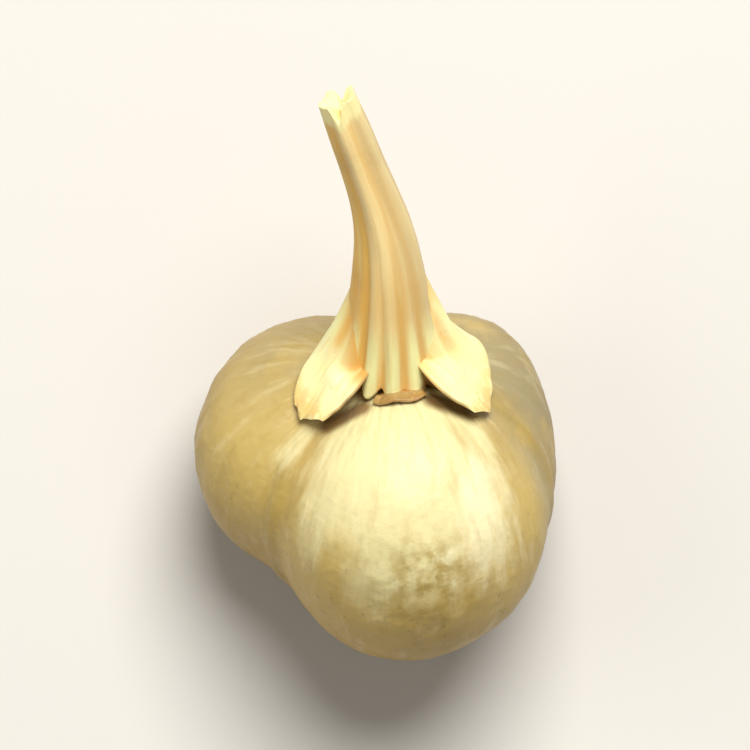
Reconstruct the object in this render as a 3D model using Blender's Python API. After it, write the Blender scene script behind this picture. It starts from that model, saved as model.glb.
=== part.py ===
"""A dried harmal seed capsule: three closed lobes, a ribbed stalk stub and five torn sepals.

It lies on two of its lobes with the stalk end raised. Metres, +Z up. The origin is under the middle of
the whole, on the surface that it lies on. Shapes are worked out in the capsule's own frame, where the
origin is its middle and +Z runs up the stalk. An azimuth there is measured round the stalk, from the
side that faces up, towards the right.
"""

import math

import bmesh
import bpy
import numpy as np

# How the capsule lies
AXIS_RISE = math.radians(40)
AXIS_LEAN = math.radians(-3)
MIDDLE_HEIGHT = 0.00387

# The three lobes: azimuth, radius, stretch along the axis and shift towards the stalk of each
LOBES = (
    (math.radians(23), 0.00347, 1.08, 0.00011),
    (math.radians(-119.5), 0.00347, 0.95, 0.00024),
    (math.radians(127.5), 0.00329, 1.065, 0.00004),
)
MEETING_HALF_HEIGHT = 0.00304
GROOVE_SOFTNESS = 0.00025
GROOVE_RIB_HEIGHT = 0.00010
GROOVE_RIB_WIDTH = 0.00024
UNEVENNESS = 0.00005
SHOULDER_AZIMUTH = math.radians(138)
SHOULDER_ANGLE = math.radians(52)
SHOULDER_SPREAD = math.radians(26)
SHOULDER_HEIGHT = 0.00055
APEX_HOLLOW_DEPTH = 0.00045
APEX_HOLLOW_WIDTH = 0.00095
STYLE_HEIGHT = 0.00050
STYLE_WIDTH = 0.00022
GROOVE_DRIFT = 0.22
COLUMNS_PER_LOBE = 26
COLUMN_CROWDING = 0.08
CAPSULE_RINGS = 38

# The stalk: its height over the capsule, and at stations from the foot to the broken end its radius and how
# far it has bent to the left
STALK_LENGTH = 0.00805
STALK_STATIONS = (0.0, 0.12, 0.25, 0.40, 0.52, 0.64, 0.76, 0.88, 1.0)
STALK_RADII = (0.00127, 0.00115, 0.00103, 0.00089, 0.00076, 0.00063, 0.00056, 0.00053, 0.00047)
STALK_LEFT = (0.0, 0.00003, 0.00010, 0.00018, 0.00031, 0.00057, 0.00092, 0.00129, 0.00168)
STALK_BEND_DOWN = 0.0006
STALK_RIBS = 10
STALK_RIB_DEPTH = 0.13
RIBS_END = 0.55
CORNER_DEPTH = 0.08
STALK_SIDES = 40
STALK_RINGS = 22
UNDERSIDE_ANGLES = (math.radians(6), math.radians(12))
BREAK_DEPTH = 0.00035

# The sepals: name, azimuth at root and tip, half width and tip's angle from the stalk's axis in degrees, how
# far the tip stands off, and how far the root runs up the stalk
SEPALS = (
    ("sepal_front", 3, 3, 30, 25, 0.00002, 0.0009),
    ("sepal_left", -75, -56, 34, 39.5, 0.00020, 0.0019),
    ("sepal_right", 80, 60, 35, 40, 0.00020, 0.0019),
    ("sepal_back_left", -145, -145, 27, 27, 0.00006, 0.0010),
    ("sepal_back_right", 152, 152, 26, 26, 0.00006, 0.0010),
)
SEPAL_THICKNESS = 0.00060
SEPAL_NARROWING = 0.35
SEPAL_TEAR = 0.16
SEPAL_UPRIGHT_ROOT = 0.6
SEPAL_ROOT_FALL = 0.85
ROOT_SHARE = 0.9
SEPAL_COLUMNS = 10
SEPAL_ROWS = 7

# Pieces that meet keep this gap, small because the whole is only as big as a pea
GAP = 0.00005

SURFACE_CUTTER_SIZE = 0.02


def direction(azimuth, angle):
    """The unit vectors at an azimuth round the stalk and an angle from its axis."""
    level = np.sin(angle)
    return np.stack([level * np.sin(azimuth), -level * np.cos(azimuth), np.cos(angle)], axis=-1)


def lobe_reaches(ways):
    """How far each lobe reaches along each way from the middle.

    A lobe is a ball whose middle lies off the axis, and which cuts it at the same half height as the others
    do. Then it is stretched along the axis and shifted a little towards the stalk.
    """
    reaches = []
    for azimuth, radius, stretch, shift in LOBES:
        squeezed = ways * (1, 1, 1 / stretch)
        length_squared = (squeezed**2).sum(-1)
        offset = math.sqrt(radius**2 - MEETING_HALF_HEIGHT**2)
        middle = offset * direction(azimuth, math.pi / 2) + (0, 0, shift / stretch)
        along = squeezed @ middle
        inside = along**2 + length_squared * (MEETING_HALF_HEIGHT**2 - (shift / stretch) ** 2)
        reaches.append((along + np.sqrt(inside)) / length_squared)
    return np.stack(reaches)


def capsule_reach(azimuth, angle):
    """The capsule's radius at an azimuth and an angle from the axis.

    The lobes are blended, with a rib in each groove, one lobe's swollen shoulder, the hollow with the style
    at the far end, and slow, shallow waves all over.
    """
    ways = direction(azimuth, angle)
    reaches = lobe_reaches(ways)
    blended = GROOVE_SOFTNESS * np.log(np.exp(reaches / GROOVE_SOFTNESS).sum(0))
    from_shoulder = np.arccos(np.clip(ways @ direction(SHOULDER_AZIMUTH, SHOULDER_ANGLE), -1, 1))
    blended = blended + SHOULDER_HEIGHT * np.exp(-((from_shoulder / SHOULDER_SPREAD) ** 2))
    highest, second = np.sort(reaches, axis=0)[[2, 1]]
    rib = GROOVE_RIB_HEIGHT * np.exp(-(((highest - second) / GROOVE_RIB_WIDTH) ** 2))
    from_apex = MEETING_HALF_HEIGHT * (math.pi - angle)
    hollow = APEX_HOLLOW_DEPTH * np.exp(-((from_apex / APEX_HOLLOW_WIDTH) ** 2))
    style = STYLE_HEIGHT * np.exp(-((from_apex / STYLE_WIDTH) ** 2))
    uneven = np.sin(3 * azimuth + 2.0 * angle) * np.sin(2.3 * angle) + np.sin(azimuth - 4.3 * angle + 1.0)
    return blended + rib - hollow + style + UNEVENNESS * np.sin(angle) * uneven


def on_capsule(azimuth, angle, above=0.0):
    """Points at a height above the capsule's surface."""
    azimuth, angle = np.broadcast_arrays(azimuth, angle)
    return (capsule_reach(azimuth, angle) + above)[..., None] * direction(azimuth, angle)


def groove_azimuths(angles):
    """Each groove's azimuths at these angles, in rising order, with the first groove again at the end.

    A groove is where the two lobes beside it reach equally far. Near the poles it is held close to the
    azimuth halfway between them.
    """
    order = sorted(range(len(LOBES)), key=lambda lobe: LOBES[lobe][0])
    grooves = []
    for first, second in zip(order, order[1:] + order[:1]):
        start = LOBES[first][0]
        apart = (LOBES[second][0] - start) % (2 * math.pi)
        low = start + (0.5 - GROOVE_DRIFT) * apart + 0 * angles
        high = start + (0.5 + GROOVE_DRIFT) * apart + 0 * angles
        for _ in range(30):
            middle = (low + high) / 2
            reaches = lobe_reaches(direction(middle, angles))
            before = reaches[first] > reaches[second]
            low = np.where(before, middle, low)
            high = np.where(before, high, middle)
        grooves.append(low)
    return grooves + [grooves[0] + 2 * math.pi]


def material(name, colour, roughness):
    made = bpy.data.materials.new(name)
    made.use_nodes = True
    shader = made.node_tree.nodes["Principled BSDF"]
    shader.inputs["Base Color"].default_value = (*colour, 1)
    shader.inputs["Roughness"].default_value = roughness
    shader.inputs["Metallic"].default_value = 0
    return made


def finish(name, mesh, finish_material, parent):
    """An object of the mesh, smooth but for its sharp edges, under its parent."""
    faces = bmesh.new()
    faces.from_mesh(mesh)
    bmesh.ops.recalc_face_normals(faces, faces=faces.faces)
    faces.to_mesh(mesh)
    faces.free()
    mesh.shade_smooth()
    mesh.set_sharp_from_angle(angle=math.radians(50))
    mesh.materials.append(finish_material)
    made = bpy.data.objects.new(name, mesh)
    bpy.context.collection.objects.link(made)
    made.parent = parent
    return made


def ring_body(name, first, rings, last, finish_material, parent):
    """A closed body: a first point, rings of points round it one after another, and a last point."""
    mesh = bpy.data.meshes.new(name)
    count = rings.shape[1]
    points = np.concatenate([[first], rings.reshape(-1, 3), [last]])
    end = len(points) - 1
    faces = []
    for i in range(count):
        j = (i + 1) % count
        faces.append((0, 1 + j, 1 + i))
        for ring in range(len(rings) - 1):
            low = 1 + ring * count
            high = low + count
            faces.append((low + i, low + j, high + j, high + i))
        faces.append((end, end - count + i, end - count + j))
    mesh.from_pydata(points.tolist(), [], faces)
    return finish(name, mesh, finish_material, parent)


def slab(name, inner, outer, finish_material, parent):
    """A closed body between two grids of points, with both faces split into triangles alike."""
    rows, columns = inner.shape[:2]
    above = rows * columns
    faces = []
    for row in range(rows - 1):
        for column in range(columns - 1):
            a = row * columns + column
            b, c, d = a + 1, a + columns, a + columns + 1
            for triangle in ((a, b, d), (a, d, c)):
                faces.append(triangle)
                faces.append(tuple(above + corner for corner in reversed(triangle)))
    number = np.arange(above).reshape(rows, columns)
    edge = [*number[0], *number[1:, -1], *number[-1, -2::-1], *number[-2:0:-1, 0]]
    for a, b in zip(edge, edge[1:] + edge[:1]):
        faces += [(a, above + a, above + b), (a, above + b, b)]
    mesh = bpy.data.meshes.new(name)
    points = np.concatenate([inner.reshape(-1, 3), outer.reshape(-1, 3)])
    mesh.from_pydata(points.tolist(), [], [tuple(int(i) for i in face) for face in faces])
    return finish(name, mesh, finish_material, parent)


def make_capsule(parent, finish_material):
    """The fruit, with columns of points that stand closer in the grooves, where the ribs run."""
    steps = np.arange(COLUMNS_PER_LOBE) / COLUMNS_PER_LOBE
    eased = steps - COLUMN_CROWDING * np.sin(2 * math.pi * steps)
    angles = np.linspace(0, math.pi, CAPSULE_RINGS + 2)[1:-1, None]
    grooves = groove_azimuths(angles)
    azimuths = np.concatenate([a + (b - a) * eased for a, b in zip(grooves, grooves[1:])], axis=1)
    rings = on_capsule(azimuths, angles)
    poles = on_capsule(0.0, np.array([0.0, math.pi]))
    capsule = ring_body("capsule", poles[0], rings, poles[1], finish_material, parent)

    bpy.ops.mesh.primitive_cube_add(size=SURFACE_CUTTER_SIZE, location=(0, 0, -SURFACE_CUTTER_SIZE / 2))
    cutter = bpy.context.active_object
    cutter.name = "surface_cutter"
    cutter.hide_render = True
    cutter.display_type = "WIRE"
    cut = capsule.modifiers.new("Resting spots", "BOOLEAN")
    cut.operation = "DIFFERENCE"
    cut.object = cutter
    return capsule


def smooth_through(place, stations, values):
    """A smooth curve through the values at the stations, straight on beyond the last one.

    Each stretch is a cubic that shares its slopes with its neighbours.
    """
    stations = np.array(stations)
    values = np.array(values)
    slopes = np.gradient(values, stations)
    stretch = np.clip(np.searchsorted(stations, place, side="right") - 1, 0, len(stations) - 2)
    width = stations[stretch + 1] - stations[stretch]
    t = np.clip((place - stations[stretch]) / width, 0, 1)
    beyond = place - np.clip(place, stations[0], stations[-1])
    eased = t * t * (3 - 2 * t)
    low = values[stretch]
    high = values[stretch + 1]
    bent = slopes[stretch] * width * t * (1 - t) ** 2 - slopes[stretch + 1] * width * t * t * (1 - t)
    return low + (high - low) * eased + bent + slopes[stretch + 1] * beyond


def stalk_middle(along):
    """The stalk's centre line: nearly straight up from the capsule at first, then bending left and down."""
    foot = capsule_reach(0.0, 0.0) + GAP
    left = smooth_through(along, STALK_STATIONS, STALK_LEFT)
    return np.stack([-left, STALK_BEND_DOWN * along**2, foot + STALK_LENGTH * along], axis=-1)


def stalk_directions(along):
    """The ways up the stalk, to its side and to its back, at a place on it."""
    step = 0.01
    up = stalk_middle(along + step) - stalk_middle(max(along - step, 0.0))
    up /= np.linalg.norm(up)
    side = np.cross((0.0, 1.0, 0.0), up)
    side /= np.linalg.norm(side)
    return up, side, np.cross(up, side)


def stalk_radius(along, azimuth):
    """The stalk's radius: a flare at the foot, ribs that fade upwards and five corners further up."""
    plain = smooth_through(along, STALK_STATIONS, STALK_RADII)
    ribs = np.abs(np.cos(STALK_RIBS / 2 * azimuth)) - 2 / math.pi
    corners = np.cos(STALK_RIBS / 2 * azimuth + 0.6)
    ribbed = np.clip(1 - along / RIBS_END, 0, 1)
    return plain * (1 + STALK_RIB_DEPTH * ribbed * ribs + CORNER_DEPTH * (1 - ribbed) * corners)


def on_stalk(along, azimuth, above=0.0):
    """Points at a height above the stalk's side, all at one place along it."""
    up, side, back = stalk_directions(along)
    out = np.sin(azimuth)[..., None] * side - np.cos(azimuth)[..., None] * back
    return stalk_middle(along) + (stalk_radius(along, azimuth) + above)[..., None] * out


def make_stalk(parent, finish_material):
    """The stalk: its underside follows the capsule's top, and its broken end is ragged."""
    azimuths = np.arange(STALK_SIDES) * 2 * math.pi / STALK_SIDES
    underside = on_capsule(azimuths[None, :], np.array(UNDERSIDE_ANGLES)[:, None], GAP)
    ragged = BREAK_DEPTH * (0.6 * np.cos(2 * azimuths + 2.9) + 0.4 * np.cos(5 * azimuths))
    rings = []
    for along in np.linspace(0, 1, STALK_RINGS):
        up = stalk_directions(along)[0]
        rings.append(on_stalk(along, azimuths) + (along**12 * ragged)[:, None] * up)
    foot_angle = np.arctan2(np.linalg.norm(rings[0][:, :2], axis=1), rings[0][:, 2])
    rings[0] = on_capsule(azimuths, foot_angle, GAP)
    first = on_capsule(0.0, 0.0, GAP)
    last = stalk_middle(1.0) - BREAK_DEPTH / 3 * up
    return ring_body("stalk", first, np.concatenate([underside, rings]), last, finish_material, parent)


def make_sepal(shape, tear_phase, parent, finish_material):
    """A sepal: a curved blade over the capsule's shoulder, from the stalk's foot to a torn tip.

    Its inner face starts at the stalk's ribbed foot and follows the capsule. Its outer face lies above it,
    along the stalk at the root and square to the capsule at the tip. At the root it also runs up the
    stalk's side, most of all in the middle, and falls from there in a hollow curve.
    """
    name, *angles, lift, root_height = shape
    root_azimuth, tip_azimuth, half_width, tip_angle = np.radians(angles)
    across = np.linspace(-1, 1, SEPAL_COLUMNS + 1)[None, :]
    tear = SEPAL_TEAR * np.abs(np.sin(4.1 * across + tear_phase))
    along = np.linspace(0, 1, SEPAL_ROWS + 1)[:, None] * (1 - 0.55 * across**2 - tear)
    azimuth = root_azimuth + (tip_azimuth - root_azimuth) * along
    azimuth = azimuth + half_width * across * (1 - SEPAL_NARROWING * along**1.5)
    root_angle = np.arctan2(stalk_radius(0.0, azimuth) + GAP, capsule_reach(0.0, 0.0))
    angle = root_angle + (tip_angle - root_angle) * along
    inner = on_capsule(azimuth, angle, GAP + lift * along**2)
    turn = np.clip(along / SEPAL_UPRIGHT_ROOT, 0, 1)[..., None]
    out = (1 - turn) * np.array([0.0, 0.0, 1.0]) + turn * direction(azimuth, angle)
    outer = inner + SEPAL_THICKNESS * out / np.linalg.norm(out, axis=-1, keepdims=True)
    root_rise = SEPAL_THICKNESS + (root_height - SEPAL_THICKNESS) * (1 - SEPAL_ROOT_FALL * across**2)
    for column in range(SEPAL_COLUMNS + 1):
        top = on_stalk(root_rise[0, column] / STALK_LENGTH, azimuth[0, column : column + 1], GAP)
        fall = np.clip(1 - along[:, column] / ROOT_SHARE, 0, 1) ** 2
        outer[:, column] += fall[:, None] * (top - outer[0, column])
    return slab(name, inner, outer, finish_material, parent)


def centre_over_origin(parent, pieces):
    """Moves the whole in X and Y, so that the middle of its box is over the origin."""
    bpy.context.view_layer.update()
    corners = [piece.matrix_world @ vertex.co for piece in pieces for vertex in piece.data.vertices]
    for axis in (0, 1):
        low = min(corner[axis] for corner in corners)
        high = max(corner[axis] for corner in corners)
        parent.location[axis] -= (low + high) / 2


def main():
    for old in list(bpy.data.objects):
        bpy.data.objects.remove(old)

    axis = bpy.data.objects.new("capsule_axis", None)
    bpy.context.collection.objects.link(axis)
    axis.rotation_euler = (AXIS_RISE - math.pi / 2, 0, AXIS_LEAN)
    axis.location = (0, 0, MIDDLE_HEIGHT)

    husk = material("husk", (0.70, 0.61, 0.36), 0.45)
    straw = material("straw", (0.74, 0.52, 0.22), 0.55)
    sepal = material("sepal", (0.86, 0.80, 0.48), 0.6)

    pieces = [make_capsule(axis, husk), make_stalk(axis, straw)]
    for number, shape in enumerate(SEPALS):
        pieces.append(make_sepal(shape, 1.7 * number, axis, sepal))
    centre_over_origin(axis, pieces)


main()
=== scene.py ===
import math

import bpy
import numpy as np
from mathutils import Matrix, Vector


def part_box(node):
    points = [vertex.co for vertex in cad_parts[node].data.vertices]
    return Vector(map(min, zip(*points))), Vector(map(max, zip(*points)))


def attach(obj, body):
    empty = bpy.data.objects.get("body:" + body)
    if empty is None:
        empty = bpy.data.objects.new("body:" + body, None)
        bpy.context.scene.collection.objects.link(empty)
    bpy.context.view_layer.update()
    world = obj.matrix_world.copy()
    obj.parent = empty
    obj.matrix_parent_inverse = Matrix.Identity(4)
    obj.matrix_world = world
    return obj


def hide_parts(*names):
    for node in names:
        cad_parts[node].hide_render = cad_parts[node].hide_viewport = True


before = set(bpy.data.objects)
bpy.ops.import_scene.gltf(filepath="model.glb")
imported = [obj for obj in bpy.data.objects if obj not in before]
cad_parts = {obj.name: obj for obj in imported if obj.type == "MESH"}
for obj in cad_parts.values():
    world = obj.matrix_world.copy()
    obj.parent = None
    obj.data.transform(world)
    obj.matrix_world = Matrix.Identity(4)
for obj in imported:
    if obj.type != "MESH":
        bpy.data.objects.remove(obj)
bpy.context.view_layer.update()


# The capsule is a dry fruit of three closed lobes that grew as one piece. Its husk is thin and
# papery, with a rib in each groove, faint veins along it, and the withered style in a hollow at its
# far end. It lies on two lobes and the rib between them, which are flat where they rest.

AXIS_RISE = math.radians(40)
AXIS_LEAN = math.radians(-3)
MIDDLE_HEIGHT = 0.00387
# Each lobe's azimuth, radius, stretch along the axis and shift towards the stalk
LOBES = (
    (math.radians(23), 0.00347, 1.08, 0.00011),
    (math.radians(-119.5), 0.00347, 0.95, 0.00024),
    (math.radians(127.5), 0.00329, 1.065, 0.00004),
)
MEETING_HALF_HEIGHT = 0.00304
GROOVE_SOFTNESS = 0.00025
GROOVE_RIB_HEIGHT = 0.00010
GROOVE_RIB_WIDTH = 0.00024
UNEVENNESS = 0.00005
SHOULDER_AZIMUTH = math.radians(138)
SHOULDER_ANGLE = math.radians(52)
SHOULDER_SPREAD = math.radians(26)
SHOULDER_HEIGHT = 0.00055
APEX_HOLLOW_DEPTH = 0.00045
APEX_HOLLOW_WIDTH = 0.00095
STYLE_HEIGHT = 0.00050
STYLE_WIDTH = 0.00022
HUSK_ROUND = 0.0037
GRAIN_STRETCH = 3
HUSK_COLUMNS = 380
HUSK_RINGS = 250

# The dried husk's relief: how deep or high each kind is, how far its crests stand apart, and for
# veins the share of their field that rises
HUSK_SINK = 0.00004
DENT_DEPTH, DENT_SIZE = 0.000018, 0.0026
SMALL_DENT_DEPTH, SMALL_DENT_SIZE = 0.000009, 0.0011
FOLD_DEPTH, FOLD_SIZE = 0.000010, 0.0008
WRINKLE_DEPTH, WRINKLE_SIZE = 0.0000055, 0.00034
FINE_WRINKLE_DEPTH, FINE_WRINKLE_SIZE = 0.0000035, 0.00026
VEIN_HEIGHT, VEIN_SIZE, VEIN_SHARE = 0.000011, 0.0011, 0.10
FINE_VEIN_HEIGHT, FINE_VEIN_SIZE, FINE_VEIN_SHARE = 0.000007, 0.0006, 0.12
MID_LINE_HEIGHT, MID_LINE_WIDTH = 0.000005, 0.00007
PUCKER_DEPTH, PUCKER_SIZE = 0.000016, 0.00046
PUCKER_ANGLE, PUCKER_SPREAD = math.radians(22), math.radians(12)
SEAM_DEPTH, SEAM_WIDTH = 0.00006, 0.00005
SEAM_FULL_REACH, SEAM_REACH = 0.0009, 0.0018

# Coloured areas that lie along a line between two directions: azimuth and angle, in degrees
# Painted highlight: a pale patch along these directions where the lamp's highlight falls on the
# front lobe, and a weaker one on the left lobe's inner side
SUNNED_FRONT = ((6, 32), (6, 56))
SUNNED_LEFT = ((-54, 44), (-54, 52))
SUNNED_LEFT_WEAKER = 0.46
# Painted shadow: dark brown on the husk just under each flap's lifted lower edge
STAIN_LEFT = ((-26, 24), (-44, 35))
STAIN_RIGHT = ((40, 24), (56, 33))
CRACKLED_BELLY = ((14, 80), (14, 84))
# Painted highlight: a whitish streak on the right of the front lobe, part of the lamp's highlight
WHITENED_RIGHT = ((36, 56), (32, 76))
# Each greyer side's first and full azimuth, and the angles where it starts and ends to fade. The
# grey is partly the husk's own and partly painted shade on its flanks
BLEACHED_RIGHT = (52, 84, 70, 115)
BLEACHED_LEFT = (70, 100, 40, 70)
BLEACHED_LEFT_SHARE = 0.6

SHOULDER_HUSK = (190, 168, 110)
MIDDLE_HUSK = (196, 170, 98)
FAR_HUSK = (194, 156, 64)
OLIVE_HUSK = (162, 134, 58)
GREY_HUSK = (150, 140, 106)
# Painted highlight: the pale cream of the lit upper middle of the front lobe
SUNNED_HUSK = (226, 218, 166)
# Pale veins and streaks, and also the painted highlight streak
PALE_VEIN = (240, 232, 190)
FRECKLE = (124, 98, 56)
# Painted shade: darker, warmer husk towards the bottom
UNDER_HUSK = (150, 116, 46)
# Painted shadow under the flaps' lower edges
STAIN = (112, 76, 34)

# How large the patterns in the husk's colour and sheen are
PATCH_SIZE = 0.0030
WORN_SIZE = 0.0020
BLOTCH_SIZE = 0.0010
WHITE_FLECK_SIZE = 0.00040
STREAK_SIZE = 0.00030
PALE_STREAK_SIZE = 0.00046
CRACKLE_SIZE = 0.00042
FRECKLE_SIZE = 0.00020
SHEEN_SIZE = 0.0006
PORE_SIZE = 0.00009
THREAD_SIZE = 0.00013
# The heights where the painted shade towards the bottom starts and where it is full
UNDERSIDE_FROM, UNDERSIDE_FULL = 0.0060, 0.0024
HUSK_ROUGHNESS, HUSK_ROUGHER = 0.38, 0.14
HUSK_SPECULAR = 0.35
HUSK_BUMP = 0.000009


def direction(azimuth, angle):
    """Unit vectors at an azimuth round the stalk, counted from the side that faces up, and at an
    angle from the stalk's axis."""
    out = np.sin(angle)
    return np.stack([out * np.sin(azimuth), -out * np.cos(azimuth), np.cos(angle)], axis=-1)


def lobe_reaches(ways):
    """How far each lobe reaches along each way from the middle: each is a ball whose middle lies
    off the axis by just so much that all three balls cut the axis at one height, then stretched and
    shifted along the axis."""
    reaches = []
    for azimuth, radius, stretch, shift in LOBES:
        squeezed = ways * (1, 1, 1 / stretch)
        length_squared = (squeezed**2).sum(-1)
        offset = math.sqrt(radius**2 - MEETING_HALF_HEIGHT**2)
        middle = offset * direction(azimuth, math.pi / 2) + (0, 0, shift / stretch)
        along = squeezed @ middle
        inside = along**2 + length_squared * (MEETING_HALF_HEIGHT**2 - (shift / stretch) ** 2)
        reaches.append((along + np.sqrt(inside)) / length_squared)
    return np.stack(reaches)


def from_groove(azimuth, angle):
    """How much further the highest lobe reaches than the next one, which is 0 in the groove."""
    highest, second = np.sort(lobe_reaches(direction(azimuth, angle)), axis=0)[[2, 1]]
    return highest - second


def from_apex(angle):
    """The way along the husk, in metres, to the far end."""
    return MEETING_HALF_HEIGHT * (math.pi - angle)


def capsule_reach(azimuth, angle):
    """The capsule's radius: the lobes' reaches, softly blended, with a rib in each groove, one
    lobe's swollen shoulder, the hollow with the style at the far end, and slow shallow waves."""
    ways = direction(azimuth, angle)
    reaches = lobe_reaches(ways)
    blended = GROOVE_SOFTNESS * np.log(np.exp(reaches / GROOVE_SOFTNESS).sum(0))
    shoulder = direction(SHOULDER_AZIMUTH, SHOULDER_ANGLE)
    from_shoulder = np.arccos(np.clip(ways @ shoulder, -1, 1))
    blended = blended + SHOULDER_HEIGHT * np.exp(-((from_shoulder / SHOULDER_SPREAD) ** 2))
    rib = GROOVE_RIB_HEIGHT * np.exp(-((from_groove(azimuth, angle) / GROOVE_RIB_WIDTH) ** 2))
    hollow = APEX_HOLLOW_DEPTH * np.exp(-((from_apex(angle) / APEX_HOLLOW_WIDTH) ** 2))
    style = STYLE_HEIGHT * np.exp(-((from_apex(angle) / STYLE_WIDTH) ** 2))
    uneven = np.sin(3 * azimuth + 2.0 * angle) * np.sin(2.3 * angle)
    uneven = uneven + np.sin(azimuth - 4.3 * angle + 1.0)
    return blended + rib - hollow + style + UNEVENNESS * np.sin(angle) * uneven


def on_capsule(azimuth, angle, above=0.0):
    """Points at a height above the capsule's smooth form."""
    azimuth, angle = np.broadcast_arrays(azimuth, angle)
    return (capsule_reach(azimuth, angle) + above)[..., None] * direction(azimuth, angle)


def from_mid_line(azimuth, angle):
    """The way along the husk, in metres, to the middle line of the nearest lobe."""
    turns = [np.abs((azimuth - lobe + math.pi) % (2 * math.pi) - math.pi) for lobe, *_ in LOBES]
    return np.min(turns, axis=0) * np.sin(angle) * HUSK_ROUND


def husk_grain(azimuth, angle):
    """Places for patterns that run from the stalk to the far end: round the husk at full size, and
    along it drawn out to three times their length."""
    return HUSK_ROUND * np.stack([np.sin(azimuth), np.cos(azimuth), angle / GRAIN_STRETCH], axis=-1)


def waves(places, size, seed, count=28):
    """A smooth random field, mostly between -1 and 1: a sum of sine waves that run in random
    directions, with crests between 0.7 and 1.5 sizes apart."""
    chance = np.random.default_rng(seed)
    ways = chance.normal(size=(count, 3))
    lengths = size * chance.uniform(0.7, 1.5, count)
    ways *= (2 * math.pi / lengths / np.linalg.norm(ways, axis=1))[:, None]
    starts = chance.uniform(0, 2 * math.pi, count)
    return np.sin(places @ ways.T + starts).sum(-1) * math.sqrt(1 / count)


def ridges(field, width):
    """Thin raised lines, 1 high, where a field passes through 0: a bell curve of the field's value
    over the width."""
    return np.exp(-((field / width) ** 2))


def smooth_step(value, low, high):
    """0 below low, 1 above high, with an even rise between, or a fall where low is above high."""
    share = np.clip((value - low) / (high - low), 0, 1)
    return share * share * (3 - 2 * share)


def from_line(ways, start, end):
    """How far directions are from the straight line between two directions in degrees."""
    start, end = direction(*np.radians(start)), direction(*np.radians(end))
    share = np.clip((ways - start) @ (end - start) / ((end - start) @ (end - start)), 0, 1)
    return np.linalg.norm(ways - start - share[..., None] * (end - start), axis=-1)


def bleached_side(turn, angle, first, full, fades, ends):
    """1 on one side of the husk, from an azimuth on, and fading towards the far end."""
    side = smooth_step(turn, math.radians(first), math.radians(full))
    return side * (1 - smooth_step(angle, math.radians(fades), math.radians(ends)))


def husk_relief(azimuth, angle):
    """How far the dried husk lies under the smooth form: slow dents, folds and small wrinkles, low
    veins along the grain, puckers round the stalk, and hair-thin seams that meet at the style."""
    places = on_capsule(azimuth, angle)
    grain = husk_grain(azimuth, angle)
    dents = DENT_DEPTH * (1 + waves(places, DENT_SIZE, 11))
    dents = dents + SMALL_DENT_DEPTH * waves(places, SMALL_DENT_SIZE, 12)
    folds = FOLD_DEPTH * waves(grain, FOLD_SIZE, 18)
    wrinkles = WRINKLE_DEPTH * waves(grain, WRINKLE_SIZE, 13)
    wrinkles = wrinkles + FINE_WRINKLE_DEPTH * waves(places, FINE_WRINKLE_SIZE, 14)
    veins = VEIN_HEIGHT * ridges(waves(grain, VEIN_SIZE, 15), VEIN_SHARE)
    fine_veins = FINE_VEIN_HEIGHT * ridges(waves(grain, FINE_VEIN_SIZE, 16), FINE_VEIN_SHARE)
    from_middle = from_mid_line(azimuth, angle)
    mid_line = MID_LINE_HEIGHT * ridges(from_middle, MID_LINE_WIDTH)
    near_stalk = ridges(angle - PUCKER_ANGLE, PUCKER_SPREAD)
    puckers = PUCKER_DEPTH * waves(grain, PUCKER_SIZE, 17) * near_stalk
    near_style = 1 - smooth_step(from_apex(angle), SEAM_FULL_REACH, SEAM_REACH)
    seams = SEAM_DEPTH * ridges(from_middle, SEAM_WIDTH) * near_style
    hollows = HUSK_SINK + dents + folds + wrinkles + puckers + seams
    return hollows - (veins + fine_veins) - mid_line


def to_floor_frame(points):
    """Points of the capsule's own frame, tipped and turned, and moved to where it lies on the
    floor."""
    rise, lean = AXIS_RISE - math.pi / 2, AXIS_LEAN
    tip = np.array(
        [[1, 0, 0], [0, math.cos(rise), -math.sin(rise)], [0, math.sin(rise), math.cos(rise)]]
    )
    turn = np.array(
        [[math.cos(lean), -math.sin(lean), 0], [math.sin(lean), math.cos(lean), 0], [0, 0, 1]]
    )
    return points @ (turn @ tip).T + capsule_middle


def closed_body(name, loops, flat_ends=False):
    """A closed mesh object through loops of points, one loop after another, all with the same
    number of points. A fan from a point in the middle closes the first and the last loop, or where
    these are flat and thin, a strip from one side of the loop to the other. Faces look outwards."""
    count, around = loops.shape[:2]
    points = loops.reshape(-1, 3)
    here = np.arange(around)
    there = (here + 1) % around
    row = np.arange(count - 1)[:, None] * around
    next_row = row + around
    sides = np.stack([row + here, row + there, next_row + there, next_row + here], axis=-1)
    sides = sides.reshape(-1, 4)
    last_row = (count - 1) * around
    if flat_ends:
        step = np.arange(1, around // 2 - 1)
        strip = np.stack([step, around - step, around - step - 1, step + 1], axis=-1).tolist()
        strip += [[0, around - 1, 1], [around // 2 - 1, around // 2 + 1, around // 2]]
        ends = strip + [[last_row + corner for corner in face[::-1]] for face in strip]
    else:
        points = np.concatenate([points, [loops[0].mean(0)], [loops[-1].mean(0)]])
        first = np.full(around, count * around)
        ends = np.stack([first, there, here], axis=-1).tolist()
        ends += np.stack([first + 1, last_row + here, last_row + there], axis=-1).tolist()
    faces = sides.tolist() + ends
    a, b, c = (points[sides[:, corner]] for corner in (0, 1, 2))
    if (np.cross(b - a, c - a) * (a - points.mean(0))).sum() < 0:
        faces = [face[::-1] for face in faces]
    mesh = bpy.data.meshes.new(name)
    mesh.from_pydata(points.tolist(), [], faces)
    mesh.shade_smooth()
    body = bpy.data.objects.new(name, mesh)
    bpy.context.scene.collection.objects.link(body)
    return body


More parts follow.
